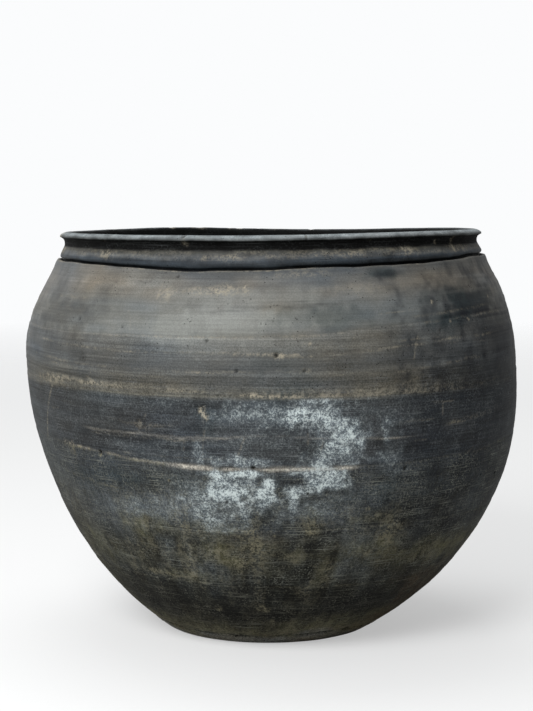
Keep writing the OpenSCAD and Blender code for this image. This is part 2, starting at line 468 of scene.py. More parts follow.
# Runs along wiping lines, by kind: half width in mm, strength, then turn and height by turns.
STREAKS = {
    "dust": [
        [1.5, 0.75, -54, 203, -50, 203, -44, 201.5, -38, 199.5, -30, 196.5, -21, 194.5],
        [0.9, 0.3, -42, 197.5, -36, 196, -28, 193.5, -22, 192],
        [0.7, 0.25, -45, 219, -35, 219.5, -20, 219, -8, 220.5],
        [0.7, 0.2, -38, 204, -30, 202.5, -20, 202, -4, 203],
        [0.9, 0.34, -70, 288, -55, 285, -40, 282.5, -15, 281, 2, 282, 12, 279.5],
        [0.8, 0.3, 10, 279.5, 25, 278.5, 38, 283, 46, 286, 56, 288],
        [0.7, 0.26, -62, 282, -48, 279, -34, 276.5, -20, 276],
        [1, 0.36, -65, 303, -52, 300.5, -40, 298.5, -30, 297.5, -16, 298.5, -5, 298, 6, 297],
        [1, 0.44, -2, 295, 8, 295.5, 18, 297.5, 26, 301, 40, 304.5, 62, 307],
        [0.8, 0.28, 24, 305, 34, 307.5, 46, 306, 60, 305],
        [0.8, 0.24, -48, 312, -34, 311.5, -20, 312, -4, 312.5, 10, 313.5, 24, 317],
        [1.1, 0.22, 28, 325.5, 40, 328, 52, 331, 64, 333], [1, 0.18, 30, 303, 44, 302, 58, 300],
        [1.2, 0.3, -62, 345, -52, 343.5, -44, 345], [1, 0.26, -60, 247, -54, 245.5, -47, 245],
        [1, 0.22, -60, 236, -52, 237.5, -46, 238], [0.9, 0.3, -38, 235, -32, 232, -26, 231, -20, 231.5],
        [2, 0.5, 38, 228, 44, 230, 50, 232.5, 60, 235.5], [0.9, 0.26, 24, 233, 30, 234.5, 38, 235.5],
        [0.9, 0.3, -60, 174, -52, 171.5, -44, 168.5, -36, 167], [1, 0.18, -30, 185.5, -16, 184, -2, 185],
        [1.1, 0.3, -50, 268, -40, 266, -30, 264.5, -18, 263.5, -6, 263],
        [0.9, 0.24, -40, 101.5, -30, 100.5, -20, 100, -12, 101],
        [0.9, 0.34, -37, 84.5, -31, 82.5, -26, 80.5, -22, 80]],
    "cream": [
        [2.1, 0.85, -26, 195, -20, 194.3, -10, 193.9, -4, 193.7, 4, 194.1, 12, 194.6, 19, 195.4],
        [1, 0.26, -56, 203, -50, 203, -44, 201.5, -38, 199.5, -30, 196.5, -21, 195],
        [0.7, 0.34, -48, 224, -40, 222, -30, 222.5, -20, 221, -10, 222, -5, 224, 0, 225],
        [0.7, 0.34, -2, 225, 4, 224, 10, 222, 20, 220.5, 28, 220, 35, 221.5]],
    "bloom": [
        [1, 0.45, 2, 198, 10, 197.5, 20, 198]],
    "soot": [
        [0.9, 0.6, -14, 336.5, -4, 338, 4, 338.5, 12, 340, 18, 342, 24, 346],
        [0.8, 0.45, -20, 333.5, -8, 335, 8, 337.5, 20, 341], [0.8, 0.3, -8, 341, 6, 342.5, 16, 345.5],
        [1, 0.5, -52, 256.5, -40, 255.5, -20, 255.5, 0, 255.5, 18, 255],
        [1, 0.35, -40, 189, -22, 187.5, -14, 187.5]]}
# Cloudy patches of nine kinds: turn, height, half width in degrees, half height in mm, strength.
BLOOM = [
    [10, 247, 7, 11, 0.32], [14.5, 235, 8, 11, 0.48], [16, 222, 7.5, 11, 0.5], [14.5, 205, 7, 9, 0.4],
    [25, 205, 3, 20, 0.16], [-11, 177, 3.8, 13, 0.78], [-1.8, 176, 2.4, 12, 0.75], [-6, 178, 3.5, 12, 0.38],
    [-7, 189, 8, 4, 0.6], [11, 182, 4, 9, 0.56], [4, 173, 3.5, 7, 0.42], [-6, 200, 7.5, 5, 0.36],
    [-11, 157, 11, 13, 0.22], [-18.5, 170, 5, 16, 0.16], [-16, 206, 1.6, 9, 0.22], [-3, 245, 9, 10, 0.18],
    [-6, 232, 10, 14, 0.08], [3.5, 155, 1, 14, 0.24], [-7, 150, 1.2, 14, 0.2], [-37, 150, 8, 10, 0.08],
    [-29, 152, 8, 12, 0.1], [9, 152, 7, 10, 0.18], [-9.5, 138, 7, 9, 0.22], [8, 193, 7, 3, 0.35]]
DUST = [
    [9, 141, 6, 10, 0.35], [26, 128, 5, 8, 0.25], [-51, 268, 5.5, 2.8, 0.4], [-43, 266, 4, 2, 0.36],
    [-58, 265, 6, 3.5, 0.35], [-33, 266, 9, 3, 0.25], [-5.5, 261, 2.6, 2.6, 0.85], [5, 259.5, 8, 1.8, 0.5],
    [-53, 203, 2.6, 4, 0.4], [-52, 197, 1.2, 5, 0.4], [-14.6, 246, 0.8, 4, 0.95], [-14, 240, 0.7, 4.5, 0.8],
    [-18.5, 46.5, 1.7, 2.6, 0.8], [-4.4, 51, 1.2, 4.5, 0.7], [-2.8, 48, 1.4, 2.6, 0.9],
    [0.1, 30, 0.8, 6, 0.55], [-3.5, 62, 0.8, 9, 0.3], [-18.7, 34, 0.8, 7, 0.26], [-29, 81, 6, 3.4, 0.42],
    [-36, 84, 5, 3, 0.34], [-44.5, 82, 1.2, 4, 0.34], [-43.5, 95, 1.2, 9, 0.26], [-29, 230, 3, 6, 0.22],
    [4, 297, 3, 1.6, 0.6], [1.8, 295.5, 1, 3, 0.6], [7, 283, 1.2, 2, 0.35], [-24, 348, 2, 8, 0.22],
    [-9, 353, 4.5, 5, 0.46], [-17, 352, 5, 4, 0.34], [-23, 351, 3, 4, 0.34], [8, 366, 9, 3, 0.22],
    [20, 352, 14, 5, 0.14], [-2, 297, 6, 1.4, 0.3], [13, 93, 1.6, 12, 0.3], [14.5, 80, 1.3, 7, 0.3],
    [7.5, 141, 1, 11, 0.42], [23.5, 146, 3.5, 4, 0.4], [-14, 108, 4, 8, 0.3], [-11.5, 99, 1.6, 7, 0.3],
    [26, 125, 1.4, 5, 0.34], [25.5, 117, 1.2, 4, 0.3], [23.2, 108, 1.3, 4, 0.5], [20.8, 112, 1.4, 5, 0.3],
    [-35, 137, 3, 5, 0.3], [4.5, 106, 2, 4, 0.34]]
OLIVE = [
    [-35, 134, 6, 12, 0.8], [-34, 122, 4, 8, 0.5], [-15, 113, 7, 13, 0.8], [-12, 101, 4, 9, 0.7],
    [8, 138, 2, 15, 0.7], [24, 143, 6, 9, 0.6], [27, 118, 3.5, 15, 0.7], [21, 112, 4, 9, 0.6],
    [4, 107, 4, 8, 0.6], [12.5, 93, 4, 20, 0.6], [-29, 84, 11, 6, 0.6], [50, 103, 18, 13, 0.7],
    [-22, 125, 6, 8, 0.3], [-2, 122, 8, 10, 0.3], [70, 96, 14, 16, 0.6], [-62, 95, 16, 20, 0.4],
    [-16, 133, 5, 9, 0.4], [36, 100, 9, 12, 0.4], [10, 24, 26, 9, 0.5], [40, 30, 16, 9, 0.4],
    [-70, 60, 16, 28, 0.35], [20, 35, 9, 8, 0.3], [-40, 22, 20, 8, 0.35]]
SOOT = [
    [-21, 122, 6, 11, 0.9], [36, 152, 10, 16, 0.9], [-7, 78, 4, 22, 0.5], [-14, 70, 6, 18, 0.5],
    [7, 212, 4.6, 9, 0.85], [4.5, 235, 3, 12, 0.55], [7, 142, 9, 8, 0.45], [41, 150, 7, 14, 0.7],
    [-1, 148, 6, 7, 0.55], [-38, 60, 14, 17, 0.75], [-8, 40, 13, 14, 0.7], [-10, 66, 5, 16, 0.5],
    [22, 52, 12, 18, 0.7], [32, 60, 10, 14, 0.6], [36, 141, 12, 18, 0.7], [-2, 141, 8, 9, 0.5],
    [-24, 109, 9, 7, 0.6], [52, 128, 16, 12, 0.5], [-24, 40, 6, 12, 0.5], [62.5, 136, 2.4, 6, 0.6],
    [-30, 218, 18, 18, 0.3], [5, 212, 4, 12, 0.5], [0, 236, 4, 14, 0.45], [30, 210, 8, 40, 0.4],
    [-55, 130, 8, 24, 0.3], [-47, 292, 9, 8, 0.3], [-50, 272, 8, 4, 0.4], [30, 88, 6, 10, 0.3],
    [-45, 106, 6, 9, 0.35]]
BROWN = [
    [60, 62, 14, 24, 0.8], [72, 45, 14, 26, 0.9], [55, 24, 14, 10, 0.6], [44, 74, 9, 9, 0.3],
    [-3, 127, 8, 6, 0.3]]
# Pale grey haze. The tall patches near the left edge, at turns -68 and -72, paint the pale reflection along
# that edge.
HAZE_AND_PAINTED_SHEEN = [
    [9.5, 268, 6, 7, 0.6], [-9, 270, 9, 6, 0.4], [-26, 158, 16, 12, 0.8], [-33, 150, 9, 9, 0.5],
    [-68, 215, 14, 70, 0.5], [-72, 330, 18, 30, 0.15], [-40, 340, 14, 20, 0.12], [10, 152, 16, 10, 0.5],
    [4, 100, 4, 14, 0.4], [9, 82, 3, 14, 0.4], [-5, 90, 2, 14, 0.35], [-45, 145, 12, 10, 0.3],
    [20, 90, 8, 14, 0.35], [-20, 92, 10, 10, 0.3]]
# Painted sheen: pale patches where the lamp's highlight falls on the front of the shoulder, painted into the
# colour.
PAINTED_SHEEN = [
    [-9, 326, 14, 11, 1], [-22, 322, 8, 10, 0.8], [-1, 344, 16, 9, 0.5], [-12, 308, 14, 9, 0.35],
    [10, 328, 12, 8, 0.4], [-30, 356, 10, 9, 0.4], [10, 306, 16, 6, 0.25], [-18, 345, 10, 8, 0.4]]
# Dark teal patches. The three at turns 43 to 50 on the shoulder paint the shade where its sheen falls off to
# the right, and the rest are bluish tone in the clay.
TEAL_AND_PAINTED_SHADE = [
    [50, 336, 12, 10, 0.9], [43, 322, 7, 9, 0.9], [44, 345, 8, 8, 0.6], [12, 329, 11, 12, 0.5],
    [2, 262, 6, 14, 0.3], [-14, 240, 3, 18, 0.35], [-36, 180, 14, 9, 0.3], [24, 176, 3, 14, 0.3],
    [2, 290, 6, 10, 0.3], [27, 364, 6, 5, 0.7], [58, 250, 14, 30, 0.4]]
# Painted shade: dark patches over the right flank and on the left of the shoulder, painted into the colour.
PAINTED_SHADE = [
    [62, 290, 26, 60, 0.95], [62, 235, 28, 60, 0.95], [64, 165, 22, 36, 0.6], [58, 322, 12, 20, 0.8],
    [28.5, 365, 3.4, 4, 0.62], [38, 296, 9, 16, 0.45], [40, 250, 12, 24, 0.45], [24, 320, 8, 6, 0.2],
    [40, 330, 10, 16, 0.35], [45, 160, 16, 30, 0.75], [52, 330, 18, 30, 0.5], [-58, 332, 20, 32, 0.45],
    [52, 128, 16, 16, 0.6], [-62, 320, 14, 24, 0.2]]
print("front patches:", [len(kind) for kind in (BLOOM, DUST, OLIVE, SOOT, BROWN, HAZE_AND_PAINTED_SHEEN, PAINTED_SHEEN, TEAL_AND_PAINTED_SHADE, PAINTED_SHADE)])

# %% [markdown]
# The far side never comes out plain in a wood-fired heap either. It gets patches and streaks of
# the same kinds from a seeded draw, painted sheen and painted shade among them, so that the pot
# looks alike all the way round.

# %% Patches on the far side
# Each kind: its patches, how many more, lowest and highest, half width in degrees, half height in
# mm, strength.
KINDS = [
    [BLOOM, 15, 145, 255, 13, 17, 0.30], [DUST, 30, 30, 365, 5, 5, 0.6], [OLIVE, 26, 20, 145, 9, 14, 0.7],
    [SOOT, 26, 30, 300, 12, 18, 0.6], [BROWN, 5, 20, 80, 14, 20, 0.7], [HAZE_AND_PAINTED_SHEEN, 16, 70, 350, 14, 22, 0.5],
    [PAINTED_SHEEN, 9, 305, 355, 13, 10, 0.7], [TEAL_AND_PAINTED_SHADE, 9, 170, 360, 9, 12, 0.6], [PAINTED_SHADE, 5, 220, 340, 15, 26, 0.7]]
for patches, count, low, high, wide, tall, strength in KINDS:
    for _ in range(count):
        spot = [random.uniform(82, 278), random.uniform(low, high)]
        patches.append([*spot, wide * random.uniform(0.5, 1.3), tall * random.uniform(0.5, 1.3),
                        strength * random.uniform(0.5, 1.1)])
for _ in range(46):
    start, level = random.uniform(75, 250), random.uniform(80, 345)
    steps = [[start + 9 * step, level + random.uniform(-1.6, 1.6)] for step in range(random.integers(3, 6))]
    kind = random.choice(["dust", "dust", "bloom", "soot"])
    STREAKS[kind].append([random.uniform(0.7, 1.5), random.uniform(0.2, 0.5), *np.ravel(steps)])

# Scratches: turn and height of both ends, half width in mm, strength.
SCRATCHES = [
    [-56.8, 258, -65.5, 202, 1.2, 0.55], [32.5, 310, 30.8, 290, 0.9, 0.45],
    [-6.2, 222, -7.8, 206, 0.7, 0.55], [10.2, 220, 9, 204, 0.7, 0.35], [-26, 358, -26, 345, 0.8, 0.4],
    [-43, 272, -41, 268, 0.8, 0.4], [-33, 336, -31, 318, 0.9, 0.22], [-19, 221, -19.5, 210, 0.7, 0.3],
    [28, 268, 33, 275, 0.8, 0.35], [-14.5, 228, -15.5, 205, 0.7, 0.3], [38, 250, 38.2, 238, 0.7, 0.3],
    [8, 308, 6.5, 305, 0.8, 0.5]]
for _ in range(150):
    turn, level = random.uniform(-180, 180), random.uniform(60, 345)
    run, rise = random.normal(0, 3.0), random.normal(0, 5.0)
    SCRATCHES.append([turn, level, turn + run, level + rise,
                      random.uniform(0.5, 0.8), random.uniform(0.1, 0.34)])
# Dents and chips on the rim: turn, mm along the line from the collar's seam, half width and half
# height in mm, depth in mm.
CHIPS = [
    [-22.2, 33.5, 2.4, 4, 1.5], [54.8, 22, 3.2, 3, 1.3], [47.2, 19.5, 2, 2, 0.8], [8.5, 31, 1.2, 5, 0.8],
    [189.8, 36.5, 5, 3.5, 0.4], [192.8, 38, 4, 3, 0.3], [202.8, 37, 5, 3.5, 0.4], [212.5, 38, 3, 3, 0.4],
    [-75, 30, 5, 3, 1], [25, 24.5, 2.5, 2, 0.7], [-48, 25, 3, 2, 0.6]]
for _ in range(16):
    CHIPS.append([random.uniform(70, 290), random.uniform(24, 38), random.uniform(1.5, 4.5),
                  random.uniform(1.5, 4.0), random.uniform(0.2, 0.8)])
# Earth stains on the rim: turn, mm along the line, half width and half height in mm, strength.
RIM_STAINS = [
    [-82, 29, 22, 7, 0.9], [-78, 12, 20, 4, 0.4], [54.5, 15, 4, 8, 0.5], [-46, 11, 14, 4, 0.2],
    [60, 13, 26, 4, 0.4], [-22, 25, 3, 4, 0.5], [-10, 11, 26, 2.5, 0.3], [18, 12, 22, 3, 0.35],
    [35, 13, 14, 3, 0.4], [47, 20, 2, 2, 0.7], [190, 36, 7, 4, 1], [203, 36, 9, 4, 1], [212, 37, 5, 3, 0.9],
    [178, 36, 14, 3, 0.5], [88, 14, 20, 4, 0.4]]
for _ in range(14):
    RIM_STAINS.append([random.uniform(95, 265), random.uniform(8, 34), random.uniform(4, 22),
                       random.uniform(2.5, 5), random.uniform(0.25, 0.6)])
print(len(SCRATCHES), "scratches,", len(CHIPS), "chips on the rim")

# %% [markdown]
# ## From marks to masks
#
# Each kind of mark becomes a value between 0 and 1 at every point of the grid. A patch is an oval
# whose edge is broken by noise. A streak is a thin bell round a wandering line, fading at its
# ends. Pinholes and scratches are small, so each one only works on the few rows and columns round it.


# %% Masks
def near(turn, height, at, wide, low, high):
    """The rows of a grid that come between two heights, and the columns within some degrees of a turn."""
    columns = np.flatnonzero(np.abs(away(turn[0], at)) < wide)
    rows = np.flatnonzero(((height > low) & (height < high)).any(axis=1))
    return np.ix_(rows, columns)


def cloud(turn, height, path, patches, seed, middle=0.05):
    """Soft ragged ovals: distance from the centre in half sizes, plus noise, eased from 1 within the
    middle to 0 outside. Where ovals overlap, each covers its share of what the others left bare."""
    mask = np.zeros(height.shape)
    rough = 0.36 * mottle(turn, path, 30, 28, seed, 2) + 0.30 * mottle(turn, path, 8, 9, seed + 1, 3)
    for at, level, wide, tall, strength in patches:
        block = near(turn, height, at, 2.2 * wide, level - 2.2 * tall, level + 2.2 * tall)
        far = np.hypot(away(turn[block], at) / wide, (height[block] - level) / tall) + rough[block]
        mask[block] += (1 - mask[block]) * strength * ramp(far, 1.5, middle)
    return mask


def streaks(turn, height, path, kind):
    """Bells of the height above wandering lines, fading over the last 5 degrees at both ends."""
    mask = np.zeros(height.shape)
    breaks = np.clip(0.55 + 0.6 * mottle(turn, path, 26, 6, 71, 3), 0.15, 1.2)
    wobble = 0.5 * mottle(turn[0], 0, 12, 50, 72, 2)
    for wide, strength, *stops in STREAKS[kind]:
        stops = np.reshape(stops, (-1, 2))
        middle = stops[:, 0].mean()
        here = away(turn[0], middle) + middle
        level = np.interp(here, stops[:, 0], stops[:, 1]) + wobble
        reach = ramp(here, stops[0, 0], stops[0, 0] + 5) * ramp(here, stops[-1, 0], stops[-1, 0] - 5)
        mask = np.maximum(mask, bell(height - level, wide) * reach * strength * breaks)
    return mask


def spots(turn, height, radius, found, profile):
    """Round marks: profile() of the distance over the mark's radius, times the mark's strength."""
    mask = np.zeros(height.shape)
    for at, level, size, strength in found:
        block = near(turn, height, at, 4, level - 3 * size, level + 3 * size)
        across = np.radians(away(turn[block], at)) * radius[block]
        far = np.hypot(across, height[block] - level) / size
        mask[block] = np.maximum(mask[block], strength * profile(far))
    return mask


def scratched(turn, height, radius):
    """Bells round straight scratches: distance from the line between the ends, in half widths."""
    mask = np.zeros(height.shape)
    for at, level, end_at, end_level, wide, strength in SCRATCHES:
        block = near(turn, height, (at + end_at) / 2, abs(end_at - at) / 2 + 1.5,
                     min(level, end_level) - 4, max(level, end_level) + 4)
        x, y = np.radians(away(turn[block], at)) * radius[block], height[block] - level
        end_x, end_y = np.radians(end_at - at) * radius[block], end_level - level
        share = np.clip((x * end_x + y * end_y) / (end_x**2 + end_y**2 + 1e-9), 0, 1)
        far = np.hypot(x - share * end_x, y - share * end_y)
        mask[block] = np.maximum(mask[block], strength * bell(far, wide))
    return mask


def rim_oval(turn, radius, along_rim, at, middle, wide, tall):
    """Distance from the middle of an oval on the rim, in its half sizes."""
    return np.hypot(np.radians(away(turn, at)) * radius / wide, (along_rim - middle) / tall)


# %% [markdown]
# ## Relief on the outside
#
# Large lumps come from the hand that held the wall inside while the other beat it outside, flat
# facets from the paddle, and fine rings from wiping with wet leather while the pot was slowly
# turned. Joints show as shallow grooves with a small step, since the upper ring was smoothed down
# over the lower one. All of it is real relief on the grid, in millimetres.


# %% Relief functions
def dish(far):
    """A flat-bottomed hole: 1 in the middle, and steep at its edge."""
    return np.exp(-far**4)


def blister_ring(far):
    """The edge of a burst blister: a bell round the blister's own radius."""
    return bell(far - 1, 0.28)


def tear(turn):
    """How far the floor joint stands open at each turn, from a tenth to 1."""
    return np.clip(0.45 + 0.9 * mottle(turn, 0, 34, 50, 88, 3), 0.1, 1)


def joint_relief(k, gap, turn):
    """Groove and step at a joint, by the distance from it along the wall. The floor joint has a
    torn groove and a rolled edge below it, and the collar's seam is undercut."""
    depth = 0.65 + 0.5 * mottle(turn, 0, 30, 50, 80 + k, 2)
    if k == 0:
        rolled = 0.5 * bell(gap + 3.4, 2.4) * (0.7 + 0.6 * mottle(turn, 0, 24, 50, 89, 2))
        return rolled - 2.8 * tear(turn) * bell(gap, 1.7)
    if k == 6:
        return -(1.0 + 1.5 * depth) * bell(gap - 0.4, 1.5)
    if k == 7:
        return -0.35 * depth * bell(gap, 1.3)
    step = 0.20 * np.tanh(gap / 2) * np.exp(-np.abs(gap) / 10)
    return -0.50 * depth * bell(gap, 1.4) - step


def laid_flat(turn, radius, spacing, seed):
    """Hills on a level face: the same lattice, laid by x and y in place of turn and path."""
    x, y = radius * np.sin(np.radians(turn)), radius * np.cos(np.radians(turn))
    return mottle(x / girth * 360, y + 200, *spacing, seed, 2)


def wall_relief(turn, path, level, height, radius, gaps):
    """Millimetres outwards: lumps, facets, rings and joints, less pits, blisters and scratches."""
    on_wall = ramp(radius, 100, 125)
    rim = ramp(path, rim_path - 6, rim_path)
    lumps = 0.95 * mottle(turn, level, 170, 120, 1) + 0.40 * mottle(turn, level, 55, 42, 2, 2)
    rings = 0.17 * mottle(turn, level, 420, 7, 3) + 0.11 * mottle(turn, level, 300, 3.2, 4)
    rings = rings * (0.6 + 0.8 * ramp(height, 250, 265))
    fine = 0.05 * mottle(turn, level, 5, 4, 5, 2)
    relief = (lumps * (1 - 0.75 * rim) + rings * (1 - 0.6 * rim) + fine) * on_wall
    for k, gap in gaps:
        relief = relief + joint_relief(k, gap, turn)
    cut = spots(turn, height, radius, PITS, dish) + 0.25 * scratched(turn, height, radius)
    blisters = spots(turn, height, radius, [[*mark, 0.45] for mark in BLISTERS], blister_ring)
    relief = relief - cut * (1 - rim) - blisters
    for *oval, depth in CHIPS:
        far = rim_oval(turn, radius, path - rim_path, *oval) + 0.25 * mottle(turn, level, 3, 3, 6)
        relief = relief - depth * ramp(far, 1.3, 0.3)
    # The foot is scraped a little hollow, so that the pot stands on the edge of its slab.
    under = 1 - ramp(path, 84, 98)
    scraped = 0.22 * laid_flat(turn, radius, (60, 3.5), 11) + 0.3 * laid_flat(turn, radius, (26, 26), 12)
    return relief - under * (1.0 + np.clip(scraped, -0.9, 2))


def inner_relief(turn, path, height, radius):
    """Millimetres out of the hollow: the wall's own lumps, and the ridges that fingers left inside."""
    on_wall = ramp(radius, 112, 135)
    ridges = 0.75 * mottle(turn, path, 620, 15, 21) + 0.45 * mottle(turn, path, 60, 26, 22, 2)
    lumps = 0.8 * mottle(turn, path, 170, 120, 1)
    floor_lumps = 0.5 * laid_flat(turn, radius, (34, 34), 23)
    calm = 1 - 0.8 * ramp(height, 360, 372)
    corner = ramp(np.abs(radius - 106), 4, 22)
    return ((ridges + lumps) * on_wall * calm + floor_lumps * (1 - on_wall)) * corner


rim_path = outside.reach(*rim_points[0])
print("rim starts", round(rim_path, 1), "mm up the outside line")

# %% [markdown]
# ## Colour of the smoked clay
#
# Smoke fired into the clay gives a black body, and every later event lies on it in order: a tone
# by height, which also paints light (a paler slab and shoulder, a darker lower wall), wiping rings,
# painted sheen and painted shade patches, dark soot clouds, olive and brown earth, then dust and
# bloom. The body colours are worked out on the grid. Dust and bloom are kept as their own masks,
# because the shader breaks them up into grains finer than the grid.

# %% Tones of the body
# Each stop is a height in mm, from the slab up to the collar's seam, and the tone there. The tones
# also paint light: the slab is paler, as painted light that offsets its shadow, the lower wall is
# darker as painted shade, and the shoulder is paler from about 285 mm up as a painted sheen.
TONES_WITH_PAINTED_LIGHT = [
    [0, "#6b6963"], [9, "#66635a"], [14, "#55513f"], [26, "#302e25"], [45, "#1a1a17"], [72, "#20201b"],
    [105, "#2b2b24"], [140, "#303233"], [165, "#2d3031"], [192, "#2a2d30"], [230, "#313335"],
    [255, "#2e3031"], [260, "#474640"], [285, "#4b4d4d"], [312, "#575856"], [316, "#616361"],
    [338, "#616361"], [356, "#605d57"], [372, "#4c4d4c"]]
# Patch kinds mixed over the body's colour, among them painted sheen and painted shade: patches,
# colour and noise seed, in the order they lie.
VEILS = [[PAINTED_SHEEN, "#767874", 31], [HAZE_AND_PAINTED_SHEEN, "#3f4346", 33], [TEAL_AND_PAINTED_SHADE, "#152528", 35], [PAINTED_SHADE, "#101319", 37],
         [OLIVE, "#44432f", 39], [BROWN, "#33271a", 41], [SOOT, "#101010", 43]]


def tone_at(stops, place):
    """Colours between the stops' tones, in even shares, each channel by itself."""
    colours = np.array([linear(tone) for _, tone in stops])
    return np.stack([np.interp(place, [at for at, _ in stops], channel) for channel in colours.T], -1)


def body_colour(turn, level, height):
    """Tone by height, with runs and rings as factors round 1, then each veil mixed over it."""
    shifted = height + 7 * mottle(turn, level, 90, 40, 51, 3) * ramp(np.abs(height - 258), 3, 12)
    upright = ramp(height, 175, 130) * ramp(height, 8, 30)
    wiped = 1 - upright
    runs = mottle(turn, level, 9, 55, 52, 2) + 0.8 * mottle(turn, level, 30, 90, 53, 2)
    blotches = mottle(turn, level, 22, 16, 54, 3)
    rings = (0.7 * mottle(turn, level, 380, 3.0, 55) + 0.5 * mottle(turn, level, 160, 1.6, 56)
             + 0.6 * mottle(turn, level, 520, 9, 57))
    ring_share = 0.24 - 0.12 * ramp(height, 305, 320)
    factor = 1 + upright * (0.52 * runs + 0.56 * blotches) + wiped * (ring_share * rings + 0.12 * blotches)
    # The tone by height paints light: a paler slab and shoulder, and a darker lower wall.
    tone = tone_at(TONES_WITH_PAINTED_LIGHT, shifted) * np.clip(factor, 0.3, 2.4)[..., None]
    # The smoke lay thicker here and thinner there, which turned the clay bluer or browner.
    drift = mottle(turn, level, 95, 30, 45, 3) + 0.5 * mottle(turn, level, 26, 12, 46, 2)
    tone = tone * (1 + drift[..., None] * np.array([-0.055, 0.0, 0.075]))
    tone = tone * (1 + 0.10 * ramp(height, 262, 290) * mottle(turn, level, 60, 26, 47, 2))[..., None]
    broken = np.clip(0.85 + upright * 0.45 * runs + wiped * 0.22 * rings, 0.1, 1.3)
    # The veils also lay the painted sheen and painted shade over the tone.
    for patches, colour, seed in VEILS:
        mask = np.clip(cloud(turn, height, level, patches, seed) * broken, 0, 1)[..., None]
        tone = tone * (1 - mask) + linear(colour) * mask
    return tone


# %% What lies on the wall
def wall_paint(turn, path, level, height, radius, gaps):
    """Colour, dust and bloom of the wall. Clouds, streaks, run-down smudges and joint lines add up,
    and soot takes its share off all three."""
    colour = body_colour(turn, level, height)
    dust = cloud(turn, height, level, DUST, 61) + streaks(turn, height, path, "dust")
    dust = dust + 0.42 * cloud(turn, height, level, OLIVE, 39) + 0.7 * scratched(turn, height, radius)
    tan_band = ramp(height, 258.2, 259.6) * ramp(height, 272, 261) * ramp(np.abs(away(turn, -12)), 75, 40)
    dust = dust + 0.16 * tan_band * (1 + 0.8 * mottle(turn, level, 40, 5, 62, 3))
    # Earth and mineral film cling to the lower wall in smudges that ran down while it was wet.
    low_wall = ramp(height, 182, 140) * ramp(height, 6, 26)
    mid_wall = ramp(height, 120, 180) * ramp(height, 330, 240)
    from_front = np.abs(away(turn, -5))
    flank = 1 - 0.7 * ramp(from_front, 22, 46) * ramp(from_front, 110, 85)
    smudge = 0.62 * mottle(turn, level, 32, 38, 76, 4) + 0.34 * mottle(turn, level, 11, 44, 77, 3)
    film = 0.62 * mottle(turn, level, 40, 46, 78, 4) + 0.30 * mottle(turn, level, 9, 40, 79, 3)
    haze = 0.5 * mottle(turn, level, 90, 26, 93, 4) + 0.3 * mottle(turn, level, 26, 9, 94, 3)
    earth_share = low_wall * flank * (0.35 + 0.65 * ramp(height, 45, 105))
    sooted = 0.62 * cloud(turn, height, level, SOOT, 43) * ramp(height, 185, 160)
    dust = (dust + earth_share * np.clip(0.03 + 0.70 * smudge, 0, 0.8)) * (1 - sooted)
    cream = np.clip(streaks(turn, height, path, "cream"), 0, 1)
    colour = colour + (linear("#ada79b") - colour) * cream[..., None]
    patchy = 0.26 * mottle(turn, level, 7, 6, 97, 3) + 0.20 * mottle(turn, level, 30, 2.8, 98, 2)
    bloom = cloud(turn, height, level, BLOOM, 63, 0.35) + streaks(turn, height, path, "bloom")
    bloom = bloom * np.clip(0.95 + patchy, 0.3, 1.5) * (1 - 0.8 * cream)
    bloom = bloom + low_wall * flank * np.clip(0.02 + 0.20 * film, 0, 0.30) * ramp(height, 40, 110)
    bloom = (bloom + mid_wall * flank * np.clip(0.04 + 0.16 * haze, 0, 0.25)) * (1 - sooted)
    colour = colour * (1 - 0.65 * streaks(turn, height, path, "soot"))[..., None]
    caught = 0.6 + 0.8 * mottle(turn, level, 30, 5, 65, 3)
    for k, gap in gaps:
        if k == 0:
            torn = bell(gap, 1.9) * np.clip(1.5 * tear(turn), 0, 1)
            above = ramp(gap, 1, 4) * ramp(gap, 22, 6) * (0.7 + 0.6 * mottle(turn, level, 20, 9, 64, 3))
            # The torn joint is darkened as painted shadow in its groove.
            colour = colour * (1 - 0.93 * torn)[..., None]
            dust = dust * (1 - torn) + 0.42 * above
        elif k == 4:
            bloom = bloom * (1 - 0.75 * ramp(gap, -0.5, 1.5))
            dust = dust + 0.10 * bell(gap - 1.0, 1.2) * caught
        elif k < 6:
            dust = dust + 0.16 * bell(gap + 0.5, 1.2) * caught
    return colour, dust, bloom


# %% What lies on the rim
# Places on the rim, in mm along its line from the collar's seam.
bulge, slope, groove, lip_edge, crest = 3, 9.5, 17.5, 27, 34
# The rim's tones also paint light and shade: near-black in the collar's seam and from the groove to the lip's
# edge as painted shadow, pale and tan on the ledge under the seam partly for dust and partly as painted
# light, paler on the slope and the crest as painted highlights, darker down the lip's bevel as painted shade,
# and near-black inside the mouth as painted shade.
RIM_TONES_WITH_PAINTED_LIGHT = [
    [-7, "#3a3b3b"], [-3.4, "#4a4641"], [-1.6, "#0e0e0e"], [0.3, "#0a0a0b"], [bulge, "#1b2024"],
    [slope - 1.5, "#2a3036"], [slope + 1, "#46494b"], [groove - 2.5, "#33332f"], [groove, "#080808"],
    [lip_edge - 1, "#090909"], [lip_edge + 0.5, "#3a3c3c"], [crest - 4, "#5d6162"], [crest - 1, "#6b7071"],
    [crest + 4, "#44484a"], [crest + 7, "#0e100f"], [crest + 10, "#060706"]]


